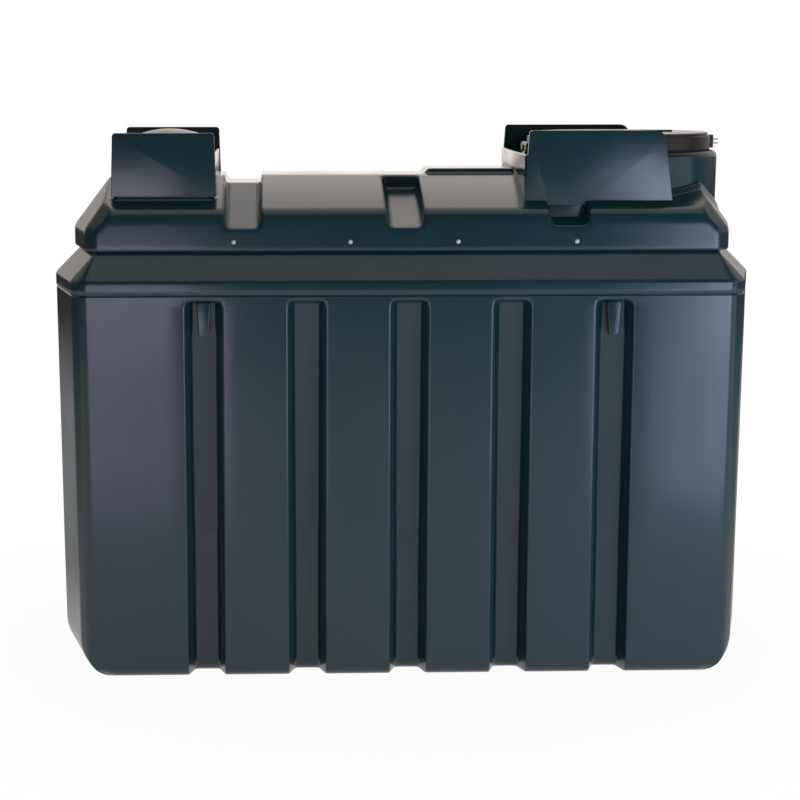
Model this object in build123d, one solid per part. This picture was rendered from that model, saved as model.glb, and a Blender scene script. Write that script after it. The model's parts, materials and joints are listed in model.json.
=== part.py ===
from build123d import *
import math
import os

# Bunded oil tank: ribbed outer bund, inner tank, crowned hood over the top, two guards,
# filler neck with a hinged lid, and a gauge cap. Millimetres, +Z up, front is -Y.

# Outer bund
bund_half_depth = 415.0        # front and rear wall faces
bund_half_length = 933.0       # middle of the ends
bund_corner_run = 93.0         # from the end back to where the flat front begins
bund_corner_long = 62.0        # corner between the two end facets, in from the end
bund_corner_deep = 40.0        # the same corner, in from the front
end_flat_half = 120.0          # half of the flat middle of each end
wall_height = 1011.0
wall_draft = 10.0              # how much narrower the foot is, each side
foot_radius_end = 95.0
foot_radius_corner = 60.0
foot_radius_front = 38.0
bund_wall = 7.0
floor_pan_height = 100.0

# Channels pressed into the front and rear walls
channel_count = 5
channel_pitch = 265.0
channel_width = 97.0
channel_depth = 57.0
channel_draft_deg = 16.5
channel_head_gap = 11.0        # from the channel head up to the band
channel_corner = 16.0

# Lifting lugs in the heads of the outer channels
lug_head_width = 40.0
lug_tip_width = 26.0
lug_drop = 98.0
lug_thickness = 38.0

# Shoulder of the bund: upright band, slope and the lip under the hood
band_proud = 4.0
band_height = 37.0
band_radius = 12.0
shoulder_run = 78.0
shoulder_rise = 76.0
lip_radius = 9.0
lip_reach = 120.0              # longest upright lip, trimmed by the hood

# Hood
hood_side_in = 58.0            # in from the front of the bund
hood_end_in = 53.0             # in from the end of the bund
hood_corner_run = 74.0
hood_corner_long = 42.0
hood_corner_deep = 35.0
hood_wall = 6.0
skirt_gap = 5.5                # hood edge above the shoulder slope
skirt_height = 102.0           # front crest above the hood edge
end_skirt_height = 55.0        # end crest above the hood edge
skirt_band = 26.0              # the skirt ring ends this far up
roof_rise = 84.0               # flat top above the front crest
roof_run = 262.0               # from the front face back to the flat top
roof_crown = 13.0              # how far the roof bulges over a straight slope
end_slope = 1.33
crest_radius = 26.0
ridge_radius = 60.0
end_crest_radius = 22.0
end_ridge_radius = 30.0

# Slots pressed across the hood
slot_width = 95.0
slot_corner = 10.0
slot_one_gap = 20.0            # from the gauge guard to the first slot
slot_one_drop = 44.0           # floor below the front crest
slot_one_depth = 21.0          # floor below the flat top
slot_two_offset = 315.0        # centre of the second slot, left of the lid guard
slot_two_drop = 42.0
slot_two_slope = 0.312
slot_two_run = 249.0           # from the front face back to its upright end

# Raised rib behind the right pad
rib_left_gap = 17.0
rib_right_gap = 7.0
rib_half_depth = 80.0
rib_height = 15.0
rib_radius = 8.0

# Guards
plate_thickness = 10.0
plate_gap = 15.0               # from the filler drum to the inside of the plates
guard_corner = 9.0
guard_outer_corner = 28.0
end_wall_rise = 58.0           # end walls above the flat top
gauge_guard_rise = 116.0
gauge_guard_left = 142.7       # reach of the foot from the gauge, each way
gauge_guard_right = 132.5
gauge_guard_taper = 6.0
lid_guard_rise = 122.0
lid_guard_lip = 2.3            # plate edge beyond its end wall
lid_guard_width = 391.0
lid_guard_left_taper = 13.0
lid_guard_right_taper = 24.5
plate_seat_rise = 13.0         # seat of the lid guard's plates above the front crest
plate_seat_slope = 0.16
seat_margin = 3.0

# Tongue of the lid guard and the notch that takes it
tongue_offset = 180.0          # left of the filler neck
tongue_width = 92.0
tongue_drop = 19.0             # foot below the front crest
notch_width = 100.0
notch_corner = 12.0
notch_slope = 0.27

# Inner tank
tank_side_gap = 29.0           # inside of a channel to the tank
tank_end_gap = 90.0
tank_corner_run = 80.0
tank_corner_long = 50.0
tank_corner_deep = 37.0
tank_wall = 6.0
tank_radius = 35.0
tank_rise = 41.0               # top of the tank above the bund shoulder

# Filler neck and lid
neck_side_margin = 92.0        # hood front to the drum
neck_end_margin = 17.0         # hood end to the drum
neck_wall = 7.0
neck_taper = 2.3
neck_shoulder = 15.0
neck_rise = 62.0               # top of the drum above the hood's flat top
neck_step_rise = 23.0          # the wide drum starts this far above the tank
neck_step_in = 35.0
neck_clearance = 0.5
wall_gap = 16.0                # left guard wall to the drum
lid_inset = 19.0               # lid edge in from the drum
lid_seat = 5.0                 # rim above the drum
lid_rim_height = 35.0
lid_step_in = 7.0
lid_step_height = 8.0
lid_wall = 5.0
lid_edge_radius = 3.0
gasket_width = 13.0
seal_gap = 1.0
grip_length = 84.0
grip_width = 28.0
grip_height = 5.0
grip_offset = 102.0

# Hinge on the left of the lid
hinge_offset = 8.5             # pin axis left of the lid edge
hinge_barrel_radius = 7.5
hinge_pin_radius = 3.5
hinge_width = 120.0
hinge_axis_rise = 8.0          # pin axis above the rim's foot
hinge_leaf = 8.0
running_gap = 0.05
side_gap = 1.0
pin_end = 3.0

# Hasp on the right of the lid
hasp_width = 60.0
hasp_reach = 8.0               # block beyond the lid edge
hasp_depth = 36.0
tab_thickness = 4.0
tab_reach = 17.0
tab_pitch = 10.0
tab_width = 34.0
tab_hole_radius = 5.0

# Gauge boss and cap
gauge_end_in = 252.0           # in from the end of the hood
gauge_boss_radius = 78.0
gauge_boss_wall = 8.0
gauge_cap_wall = 4.0
gauge_cap_gap = 4.0
gauge_cap_rise = 119.5         # top of the cap above the hood's flat top
gauge_cap_dome = 15.0
gauge_cap_skirt = 42.0
cap_seat = 4.0

# What the sizes above lead to
channel_top = wall_height - channel_head_gap
band_top = wall_height + band_height
shoulder_top = band_top + shoulder_rise
hood_half_depth = bund_half_depth - hood_side_in
hood_half_length = bund_half_length - hood_end_in
skirt_run = band_proud + hood_side_in + hood_wall
skirt_foot = band_top + skirt_run * shoulder_rise / shoulder_run + skirt_gap
crest_height = skirt_foot + skirt_height
end_crest_height = skirt_foot + end_skirt_height
skirt_split = skirt_foot + skirt_band
roof_top = crest_height + roof_rise
tank_half_depth = bund_half_depth - channel_depth - bund_wall - tank_side_gap
tank_half_length = bund_half_length - bund_wall - tank_end_gap
tank_top = shoulder_top + tank_rise
neck_radius = hood_half_depth - neck_side_margin
neck_x = hood_half_length - neck_end_margin - neck_radius
neck_foot_radius = neck_radius - neck_step_in
neck_step = tank_top + neck_step_rise
neck_top = roof_top + neck_rise
mouth_radius = neck_foot_radius - neck_wall
lid_radius = neck_radius - lid_inset
lid_foot = neck_top + lid_seat
lid_step = lid_foot + lid_rim_height
lid_top = lid_step + lid_step_height
pin_x = neck_x - lid_radius - hinge_offset
pin_z = lid_foot + hinge_axis_rise
gauge_x = gauge_end_in - hood_half_length
plate_face_y = neck_radius + plate_gap + plate_thickness
lid_wall_x = neck_x - neck_radius - wall_gap - plate_thickness
lid_guard_left = lid_wall_x - lid_guard_lip
slot_one_x = gauge_x + gauge_guard_right + slot_one_gap + slot_width / 2
slot_two_x = lid_wall_x - slot_two_offset
tongue_x = neck_x - tongue_offset
plate_seat = crest_height + plate_seat_rise
tongue_foot = crest_height - tongue_drop
end_wall_top = roof_top + end_wall_rise
gauge_cap_top = roof_top + gauge_cap_rise
gauge_cap_radius = gauge_boss_radius + gauge_cap_gap + gauge_cap_wall
far = 3.0 * (bund_half_length + bund_half_depth)


def edge_line(p, q):
    """Unit normal (to the right of p to q) and distance of the line through two points."""
    dx = q[0] - p[0]
    dy = q[1] - p[1]
    length = math.hypot(dx, dy)
    nx = dy / length
    ny = -dx / length
    return nx, ny, nx * p[0] + ny * p[1]


def meet(a, b):
    """Point where two lines cross."""
    det = a[0] * b[1] - a[1] * b[0]
    return ((a[2] * b[1] - a[1] * b[2]) / det, (a[0] * b[2] - a[2] * b[0]) / det)


def facets(half_depth, half_length, run, long_in, deep_in):
    """Name, direction in degrees and distance from the middle of each facet round the plan."""
    front = (half_length - run, half_depth)
    corner = (half_length - long_in, half_depth - deep_in)
    middle = (half_length, end_flat_half)
    found = [("side", 90.0, half_depth), ("side", -90.0, half_depth)]
    found += [("end", 0.0, half_length), ("end", 180.0, half_length)]
    for name, p, q in (("corner", corner, front), ("bow", middle, corner)):
        nx, ny, reach = edge_line(p, q)
        turn = math.degrees(math.atan2(ny, nx))
        found += [(name, turn, reach), (name, -turn, reach), (name, 180 - turn, reach), (name, turn - 180, reach)]
    return found


def inward(points, gap, top_gap=0.0):
    """The same wall profile, moved inward by a wall thickness all along."""
    if gap == 0:
        return points
    lines = [edge_line(p, q) for p, q in zip(points, points[1:])]
    lines = [(n[0], n[1], n[2] - gap) for n in lines]
    low = (0.0, -1.0, -points[0][1])
    high = (0.0, 1.0, points[-1][1] - top_gap)
    lines = [low] + lines + [high]
    moved = [meet(m, n) for m, n in zip(lines, lines[1:])]
    return [(u, z, max(p[2] - gap, 0.0)) for (u, z), p in zip(moved, points)]


def wall_prism(turn, reach, points, crown=0.0):
    """All that lies inside one facet whose wall follows a profile of (outward, height, radius).
    A crown bows the last stretch of the profile outward."""
    spots = [Vector(reach + u, 0, z) for u, z, _ in points]
    start = Vector(reach - far, 0, points[0][1])
    finish = Vector(reach - far, 0, points[-1][1])
    edges = [Edge.make_line(start, spots[0])]
    edges += [Edge.make_line(p, q) for p, q in zip(spots[:-2], spots[1:-1])]
    if crown > 0:
        nx, nz, _ = edge_line((spots[-2].X, spots[-2].Z), (spots[-1].X, spots[-1].Z))
        middle = (spots[-2] + spots[-1]) * 0.5 + Vector(nx, 0, nz) * crown
        edges.append(Edge.make_three_point_arc(spots[-2], middle, spots[-1]))
    else:
        edges.append(Edge.make_line(spots[-2], spots[-1]))
    edges.append(Edge.make_line(spots[-1], finish))
    edges.append(Edge.make_line(finish, start))
    face = Face(Wire(edges))
    for spot, (_, _, radius) in zip(spots, points):
        if radius > 0:
            near = [v for v in face.vertices() if (Vector(v) - spot).length < 0.01]
            face = fillet(near, radius)
    solid = extrude(face, amount=far / 2, dir=(0, 1, 0), both=True)
    return solid.rotate(Axis.Z, turn)


def mitred(outline, profiles, crowns=None):
    """Body whose facets each follow the profile of their kind, mitred at the corners."""
    body = None
    for name, turn, reach in outline:
        crown = crowns[name] if crowns and name in crowns else 0.0
        prism = wall_prism(turn, reach, profiles[name], crown)
        body = prism if body is None else body & prism
    return body


def box(x0, x1, y0, y1, z0, z1):
    block = Box(x1 - x0, y1 - y0, z1 - z0, align=(Align.MIN, Align.MIN, Align.MIN))
    return block.moved(Location((x0, y0, z0)))


def cylinder(x, y, z0, z1, r):
    part = Cylinder(r, z1 - z0, align=(Align.CENTER, Align.CENTER, Align.MIN))
    return part.moved(Location((x, y, z0)))


def y_cylinder(x, z, y0, y1, r):
    part = Cylinder(r, y1 - y0, align=(Align.CENTER, Align.CENTER, Align.MIN))
    return part.rotate(Axis.X, -90).moved(Location((x, y0, z)))


def turned(points):
    """Solid of revolution about Z from points of (radius, height, corner radius)."""
    face = Face(Wire.make_polygon([Vector(r, 0, z) for r, z, _ in points], close=True))
    for r, z, radius in points:
        if radius > 0:
            near = [v for v in face.vertices() if (Vector(v) - Vector(r, 0, z)).length < 0.01]
            face = fillet(near, radius)
    return revolve(face, Axis.Z, 360)


def both_sides(tool):
    """A cutter for the front and its mirror image for the rear."""
    return [tool, tool.mirror(Plane.XZ)]


def bund_outline(proud=0.0):
    lines = facets(bund_half_depth, bund_half_length, bund_corner_run, bund_corner_long, bund_corner_deep)
    return [(name, turn, reach + proud) for name, turn, reach in lines]


def channel_centres():
    first = -(channel_count - 1) / 2 * channel_pitch
    return [first + i * channel_pitch for i in range(channel_count)]


def channel_tool(x, grow):
    """Tapered cutter for one channel in the front wall."""
    half = channel_width / 2 + grow
    high = channel_top + grow
    foot = -bund_wall - channel_depth
    face = Face(Wire.make_polygon([
        Vector(-half, 0, foot), Vector(half, 0, foot), Vector(half, 0, high), Vector(-half, 0, high),
    ], close=True))
    head = [v for v in face.vertices() if v.Z > high - 1]
    face = fillet(head, channel_corner + grow)
    face = face.moved(Location((x, -bund_half_depth, 0)))
    tool = extrude(face, amount=channel_depth + grow, dir=(0, 1, 0), taper=channel_draft_deg)
    mouth = extrude(face, amount=wall_draft + bund_wall, dir=(0, -1, 0))
    return tool + mouth


def bund_block(inset):
    """Ribbed outer wall, filled; with an inset it is the space inside the wall."""
    radii = {"side": foot_radius_front, "corner": foot_radius_corner, "bow": foot_radius_end, "end": foot_radius_end}
    profiles = {}
    for name, radius in radii.items():
        profiles[name] = [(-wall_draft - inset, inset, radius - inset), (-inset, wall_height, 0.0)]
    block = mitred(bund_outline(), profiles)
    for x in channel_centres():
        for tool in both_sides(channel_tool(x, inset * 1.1)):
            block = block - tool
    return block


def bund_parts(shell):
    cut_x = bund_half_length - bund_corner_run - 20
    pan = floor_pan_height
    parts = {}
    parts["bund_floor"] = shell & box(-far, far, -far, far, -10, pan)
    parts["bund_front_wall"] = shell & box(-cut_x, cut_x, -far, 0, pan, far)
    parts["bund_rear_wall"] = shell & box(-cut_x, cut_x, 0, far, pan, far)
    parts["bund_left_end"] = shell & box(-far, -cut_x, -far, far, pan, far)
    parts["bund_right_end"] = shell & box(cut_x, far, -far, far, pan, far)
    return parts


def lifting_lugs(bund):
    """Tapered tongues that hang in the heads of the outer channels."""
    outer = channel_centres()[-1]
    half_head = lug_head_width / 2
    half_tip = lug_tip_width / 2
    low = channel_top - lug_drop
    face = Face(Wire.make_polygon([
        Vector(-half_head, 0, channel_top), Vector(-half_tip, 0, low),
        Vector(half_tip, 0, low), Vector(half_head, 0, channel_top),
    ], close=True))
    tip = [v for v in face.vertices() if v.Z < low + 1]
    face = fillet(tip, half_tip * 0.8)
    face = face.moved(Location((0, -bund_half_depth + channel_depth, 0)))
    lug = extrude(face, amount=lug_thickness, dir=(0, -1, 0))
    solids = []
    for x in (-outer, outer):
        for one in both_sides(lug.moved(Location((x, 0, 0)))):
            solids.append(one - bund)
    return Compound(children=solids)


def shoulder_block(inset):
    """Upright band, slope and lip, filled."""
    points = [(0.0, wall_height, 0.0), (0.0, band_top, band_radius), (-shoulder_run, shoulder_top, lip_radius),
              (-shoulder_run, shoulder_top + lip_reach, 0.0)]
    points = inward(points, inset)
    return mitred(bund_outline(band_proud), {name: points for name in ("side", "corner", "bow", "end")})


def bund_shoulder(under_hood):
    """The lip stands inside the hood and carries it, and stays clear of the filler drum."""
    body = shoulder_block(0.0) - shoulder_block(bund_wall)
    below = box(-far, far, -far, far, 0, shoulder_top - hood_wall / 2)
    body = (body & below) + ((body - below) & under_hood)
    drum = cylinder(neck_x, 0, neck_step - bund_wall, roof_top, neck_radius + bund_wall)
    return body - drum


def hood_outline():
    return facets(hood_half_depth, hood_half_length, hood_corner_run, hood_corner_long, hood_corner_deep)


def hood_profiles(inset):
    end_run = (roof_top - end_crest_height) / end_slope
    side = [(0.0, skirt_foot, 0.0), (0.0, crest_height, crest_radius), (-roof_run, roof_top, 0.0)]
    end = [(0.0, skirt_foot, 0.0), (0.0, end_crest_height, end_crest_radius), (-end_run, roof_top, end_ridge_radius)]
    side = inward(side, inset, inset)
    end = inward(end, inset, inset)
    return {"side": side, "corner": end, "bow": end, "end": end}


def trough(x, width, corner, front_z, slope, y_end, inset):
    """Round-cornered cutter for a groove that runs out through the front face.
    Its floor passes front_z at the face, climbs with the slope and ends upright at y_end."""
    half = width / 2 + inset
    drop = inset * math.hypot(1.0, slope)
    high = roof_top + rib_height + far / 20
    face = Face(Wire.make_polygon([
        Vector(x - half, 0, 0), Vector(x + half, 0, 0), Vector(x + half, 0, high), Vector(x - half, 0, high),
    ], close=True))
    foot = [v for v in face.vertices() if v.Z < 1]
    face = fillet(foot, corner + inset)
    tool = extrude(face, amount=far / 4, dir=(0, 1, 0), both=True)
    tool = tool.rotate(Axis.X, math.degrees(math.atan(slope)))
    tool = tool.moved(Location((0, -hood_half_depth, front_z - drop)))
    return tool & box(-far, far, -far, y_end + inset, 0, high)


def hood_block(inset):
    """Hood with its pads, slots and notches, filled; with an inset it is the space under it."""
    body = mitred(hood_outline(), hood_profiles(inset), {"side": roof_crown})
    rib_left = slot_two_x + slot_width / 2 + rib_left_gap + inset
    rib_right = lid_wall_x - rib_right_gap - inset
    rib_half = rib_half_depth - inset
    rib = box(rib_left, rib_right, -rib_half, rib_half, crest_height, roof_top + rib_height - inset)
    upper = [e for e in rib.edges() if e.center().Z > crest_height + 1]
    body = body + fillet(upper, rib_radius - inset * 0.8)

    floor_one = crest_height - slot_one_drop
    top_one = roof_top - slot_one_depth
    slope_one = (top_one - floor_one) / roof_run
    tools = both_sides(trough(slot_one_x, slot_width, slot_corner, floor_one, slope_one, 0.0, inset))
    side = slot_width / 2 + inset
    tools.append(box(slot_one_x - side, slot_one_x + side, -far, far, top_one - inset, far))

    floor_two = crest_height - slot_two_drop
    rear_two = slot_two_run - hood_half_depth
    tools += both_sides(trough(slot_two_x, slot_width, slot_corner, floor_two, slot_two_slope, rear_two, inset))

    behind = plate_thickness - plate_face_y
    seat_x = lid_guard_left + lid_guard_width / 2
    seat_front = plate_seat - plate_seat_slope * (hood_half_depth - plate_face_y)
    seat_width = lid_guard_width + 2 * seat_margin
    tools += both_sides(trough(seat_x, seat_width, seat_margin, seat_front, plate_seat_slope, behind, inset))
    notch_front = tongue_foot - notch_slope * (hood_half_depth - plate_face_y)
    tools += both_sides(trough(tongue_x, notch_width, notch_corner, notch_front, notch_slope, behind, inset))
    for tool in tools:
        body = body - tool
    return body


def hood_shell(hood, under_hood):
    shell = hood - under_hood
    shell = shell - cylinder(neck_x, 0, tank_top, far, neck_radius + neck_clearance)
    shell = shell - cylinder(gauge_x, 0, tank_top, far, gauge_boss_radius + neck_clearance)
    return shell


def guard_plate(foot_left, foot_right, left_taper, right_taper, top, right_round):
    """Front plate of a guard, from below the roof to its top."""
    foot = tongue_foot
    lift = (foot - plate_seat) / (top - plate_seat)
    face = Face(Wire.make_polygon([
        Vector(foot_left + left_taper * lift, 0, foot), Vector(foot_right - right_taper * lift, 0, foot),
        Vector(foot_right - right_taper, 0, top), Vector(foot_left + left_taper, 0, top),
    ], close=True))
    middle = (foot_left + foot_right) / 2
    left = [v for v in face.vertices() if v.Z > top - 1 and v.X < middle]
    face = fillet(left, guard_corner)
    right = [v for v in face.vertices() if v.Z > top - 1 and v.X > middle]
    face = fillet(right, right_round)
    face = face.moved(Location((0, -plate_face_y, 0)))
    return extrude(face, amount=plate_thickness, dir=(0, 1, 0))


def end_wall(x0, hood):
    """Upright wall between a guard's two plates."""
    inner = plate_face_y - plate_thickness
    return box(x0, x0 + plate_thickness, -inner, inner, crest_height, end_wall_top) - hood


def guards(hood):
    parts = {}
    left = gauge_x - gauge_guard_left
    right = gauge_x + gauge_guard_right
    taper = gauge_guard_taper
    front = guard_plate(left, right, taper, taper, roof_top + gauge_guard_rise, guard_corner) - hood
    parts["gauge_guard_front"] = front
    parts["gauge_guard_rear"] = front.mirror(Plane.XZ)
    parts["gauge_guard_left_wall"] = end_wall(left + taper, hood)
    parts["gauge_guard_right_wall"] = end_wall(right - taper - plate_thickness, hood)
    front = guard_plate(lid_guard_left, lid_guard_left + lid_guard_width, lid_guard_left_taper,
                        lid_guard_right_taper, roof_top + lid_guard_rise, guard_outer_corner)
    half_notch = notch_width / 2
    half_tongue = tongue_width / 2
    clear = box(tongue_x - half_notch, tongue_x + half_notch, -far, 0, 0, plate_seat)
    tongue = box(tongue_x - half_tongue, tongue_x + half_tongue, -plate_face_y, plate_thickness - plate_face_y,
                 tongue_foot, plate_seat + plate_thickness)
    front = front - clear + tongue - hood
    parts["lid_guard_front"] = front
    parts["lid_guard_rear"] = front.mirror(Plane.XZ)
    parts["lid_guard_left_wall"] = end_wall(lid_wall_x, hood)
    return parts


def tank_block(inset):
    outline = facets(tank_half_depth, tank_half_length, tank_corner_run, tank_corner_long, tank_corner_deep)
    round_in = tank_radius - inset
    points = [(-inset, bund_wall + inset, round_in), (-inset, tank_top - inset, round_in)]
    return mitred(outline, {name: points for name in ("side", "corner", "bow", "end")})


def inner_tank():
    shell = tank_block(0.0) - tank_block(tank_wall)
    shell = shell - cylinder(neck_x, 0, tank_top - tank_radius, far, mouth_radius)
    shell = shell - cylinder(gauge_x, 0, tank_top - tank_radius, far, gauge_boss_radius - gauge_boss_wall)
    split = tank_top - tank_radius
    parts = {}
    parts["inner_tank_shell"] = shell & box(-far, far, -far, far, 0, split)
    parts["inner_tank_top"] = shell & box(-far, far, -far, far, split, far)
    return parts


def neck():
    """Wide drum on a narrower foot, hollow, with the mouth through it."""
    low = neck_radius - neck_taper
    wall = neck_wall
    return turned([
        (mouth_radius, tank_top, 0), (neck_foot_radius, tank_top, 0), (neck_foot_radius, neck_step, 0),
        (low, neck_step, wall * 0.8), (neck_radius, neck_top, neck_shoulder), (mouth_radius, neck_top, 0),
        (mouth_radius, neck_top - wall, 0), (neck_radius - wall, neck_top - wall, neck_shoulder - wall),
        (low - wall, neck_step + wall, 0), (mouth_radius, neck_step + wall, 0),
    ]).moved(Location((neck_x, 0, 0)))


def gasket():
    """Flat ring under the lid's rim."""
    outer = lid_radius - seal_gap
    return turned([
        (outer - gasket_width, neck_top, 0), (outer, neck_top, 0),
        (outer, lid_foot - seal_gap, 0), (outer - gasket_width, lid_foot - seal_gap, 0),
    ]).moved(Location((neck_x, 0, 0)))


def lid_parts():
    parts = {}
    step = lid_radius - lid_step_in
    wall = lid_wall
    inner = lid_top - wall
    cover = turned([
        (0, lid_top, 0), (step, lid_top, lid_edge_radius), (step, lid_step, 0),
        (lid_radius, lid_step, lid_edge_radius), (lid_radius, lid_foot, 0), (lid_radius - wall, lid_foot, 0),
        (lid_radius - wall, lid_step - wall, 0), (step - wall, lid_step - wall, 0), (step - wall, inner, 0),
        (0, inner, 0),
    ])
    parts["lid"] = cover.moved(Location((neck_x, 0, 0)))
    x0 = neck_x + grip_offset - grip_length / 2
    grip = box(x0, x0 + grip_length, -grip_width / 2, grip_width / 2, lid_top, lid_top + grip_height)
    upper = [e for e in grip.edges() if e.center().Z > lid_top + 1]
    parts["lid_grip"] = fillet(upper, grip_height * 0.4)
    disc = cylinder(neck_x, 0, lid_foot, lid_top, lid_radius)
    x0 = neck_x + lid_radius + hasp_reach
    half = hasp_width / 2
    block = box(x0 - hasp_depth, x0, -half, half, lid_foot, lid_step) - disc
    parts["hasp_block"] = block
    middle = (lid_foot + lid_step) / 2
    tabs = []
    for z in (middle - tab_pitch / 2, middle + tab_pitch / 2):
        half = tab_thickness / 2
        tab = box(x0, x0 + tab_reach, -tab_width / 2, tab_width / 2, z - half, z + half)
        corners = [e for e in tab.edges() if e.center().X > x0 + tab_reach - 1 and abs(e.center().Y) > tab_width / 3]
        tab = fillet(corners, tab_reach * 0.35)
        tabs.append(tab - cylinder(x0 + tab_reach / 2, 0, z - half - 1, z + half + 1, tab_hole_radius))
    parts["padlock_tabs"] = Compound(children=tabs)
    return parts


def hinge_parts():
    parts = {}
    half = hinge_width / 2
    third = hinge_width / 6
    barrel = hinge_barrel_radius
    lid_edge = neck_x - lid_radius
    knuckle = y_cylinder(pin_x, pin_z, -third, third, barrel)
    arm = box(pin_x, lid_edge + barrel, -third, third, pin_z, pin_z + hinge_leaf)
    pad = box(lid_edge - hinge_leaf / 2, lid_edge + barrel, -third, third, pin_z, lid_step - lid_edge_radius)
    bore = y_cylinder(pin_x, pin_z, -half, half, hinge_pin_radius + running_gap)
    disc = cylinder(neck_x, 0, lid_foot, lid_top, lid_radius)
    parts["lid_hinge_leaf"] = knuckle + arm + pad - bore - disc
    drum = turned([
        (0, neck_step, 0), (neck_radius - neck_taper, neck_step, 0), (neck_radius, neck_top, neck_shoulder),
        (0, neck_top, 0),
    ]).moved(Location((neck_x, 0, 0)))
    fixed = []
    for y0, y1 in ((-half, -third - side_gap), (third + side_gap, half)):
        knuckle = y_cylinder(pin_x, pin_z, y0, y1, barrel)
        post = box(pin_x - barrel, pin_x + barrel, y0, y1, neck_top - neck_shoulder, pin_z)
        bore = y_cylinder(pin_x, pin_z, y0 - 1, y1 + 1, hinge_pin_radius)
        fixed.append(knuckle + post - bore - drum)
    parts["hinge_bracket"] = Compound(children=fixed)
    parts["hinge_pin"] = y_cylinder(pin_x, pin_z, -half - pin_end, half + pin_end, hinge_pin_radius)
    return parts


def gauge_parts():
    parts = {}
    top = gauge_cap_top - gauge_cap_dome
    boss_top = top - cap_seat
    inner = gauge_boss_radius - gauge_boss_wall
    boss = turned([(inner, tank_top, 0), (gauge_boss_radius, tank_top, 0), (gauge_boss_radius, boss_top, 0),
                   (inner, boss_top, 0)])
    parts["gauge_boss"] = boss.moved(Location((gauge_x, 0, 0)))
    low = top - gauge_cap_skirt
    r = gauge_cap_radius
    h = gauge_cap_dome
    ball = (r * r + h * h) / (2 * h)
    cap = cylinder(0, 0, low, top, r)
    dome = Sphere(ball).moved(Location((0, 0, top + h - ball))) & cylinder(0, 0, top, top + h + 1, r)
    cap = cap + dome - cylinder(0, 0, low - 1, boss_top, r - gauge_cap_wall)
    parts["gauge_cap"] = cap.moved(Location((gauge_x, 0, 0)))
    return parts


def build():
    bund = bund_block(0.0)
    hood = hood_block(0.0)
    under_hood = hood_block(hood_wall)
    shell = hood_shell(hood, under_hood)
    parts = bund_parts(bund - bund_block(bund_wall))
    parts["bund_shoulder"] = bund_shoulder(under_hood)
    parts["lifting_lugs"] = lifting_lugs(bund)
    parts["hood_skirt"] = shell & box(-far, far, -far, far, 0, skirt_split)
    parts["hood_roof"] = shell & box(-far, far, -far, far, skirt_split, far)
    parts.update(guards(hood))
    parts.update(inner_tank())
    parts["filler_neck"] = neck()
    parts["neck_gasket"] = gasket()
    parts.update(lid_parts())
    parts.update(hinge_parts())
    parts.update(gauge_parts())
    return parts


os.makedirs("parts", exist_ok=True)
for name, shape in build().items():
    shape.label = name
    export_step(shape, "parts/" + name + ".step")
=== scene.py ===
"""Looks for the bunded oil tank: moulded skins, plastics, studio and camera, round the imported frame."""
import json
import math

import bmesh
import bpy
from mathutils import Matrix, Vector, noise


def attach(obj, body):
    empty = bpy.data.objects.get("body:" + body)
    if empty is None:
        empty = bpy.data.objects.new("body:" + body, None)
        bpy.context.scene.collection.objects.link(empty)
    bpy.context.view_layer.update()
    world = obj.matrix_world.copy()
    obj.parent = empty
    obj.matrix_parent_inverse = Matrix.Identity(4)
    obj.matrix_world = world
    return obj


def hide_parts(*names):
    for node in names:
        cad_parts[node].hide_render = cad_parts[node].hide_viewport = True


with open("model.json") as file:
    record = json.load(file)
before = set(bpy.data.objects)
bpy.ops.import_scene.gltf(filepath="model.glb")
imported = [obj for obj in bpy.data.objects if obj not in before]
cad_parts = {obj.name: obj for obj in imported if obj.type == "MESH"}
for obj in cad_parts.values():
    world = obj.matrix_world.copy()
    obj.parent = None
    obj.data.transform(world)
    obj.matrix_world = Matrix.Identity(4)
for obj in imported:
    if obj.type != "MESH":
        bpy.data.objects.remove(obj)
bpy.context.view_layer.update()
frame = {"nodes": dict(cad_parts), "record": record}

scene = bpy.context.scene

# Plans: half depth, half length, then the corner facet's start along the front and its far end, as
# distances in from the end and from the front
BUND_PLAN = (0.415, 0.933, 0.093, 0.062, 0.040)
HOOD_PLAN = (0.357, 0.880, 0.074, 0.042, 0.035)
END_FLAT_HALF = 0.120
PLAN_ROUNDING = 0.040
ROUNDING_SHARE = 0.45
ROUNDING_STEPS = 5
FACET_POINTS = {"corner": 1, "bow": 5, "end": 5}

# Wall of the bund and the channels in it
WALL_TOP = 1.011
WALL_DRAFT = 0.010
WALL = 0.007
FOOT_RADII = {"side": 0.038, "corner": 0.060, "bow": 0.095, "end": 0.095}
FOOT_STEP = 9
WALL_ROWS = [0.12 + 0.05 * k for k in range(17)]
INNER_ROWS = (0.99, 0.12, 0.08, 0.05, 0.03)
CHANNELS = [-0.530, -0.265, 0.0, 0.265, 0.530]
CHANNEL_HALF = 0.0485
CHANNEL_TOP = 1.000
CHANNEL_DEPTH = 0.057
CHANNEL_DRAFT = math.radians(16.5)
CHANNEL_CORNER = 0.020
MOUTH_RADIUS = 0.009
FLOOR_RADIUS = 0.012
FILLET_STEPS = 6
FLOOR_COLUMN = 0.012
RIB_COLUMNS = 5
END_COLUMNS = (0.045, 0.090, 0.135, 0.180)

# Waves in the walls, pushed in toward the middle and fading toward the foot
PANEL_WAVE = 0.0012
WAVE_ACROSS = 3.1
WAVE_UP = 2.3
WAVE_SEED = 4.0
WAVE_FADE = 0.05
WAVE_REST = 0.8
WAVE_LEAN = 0.45

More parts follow.
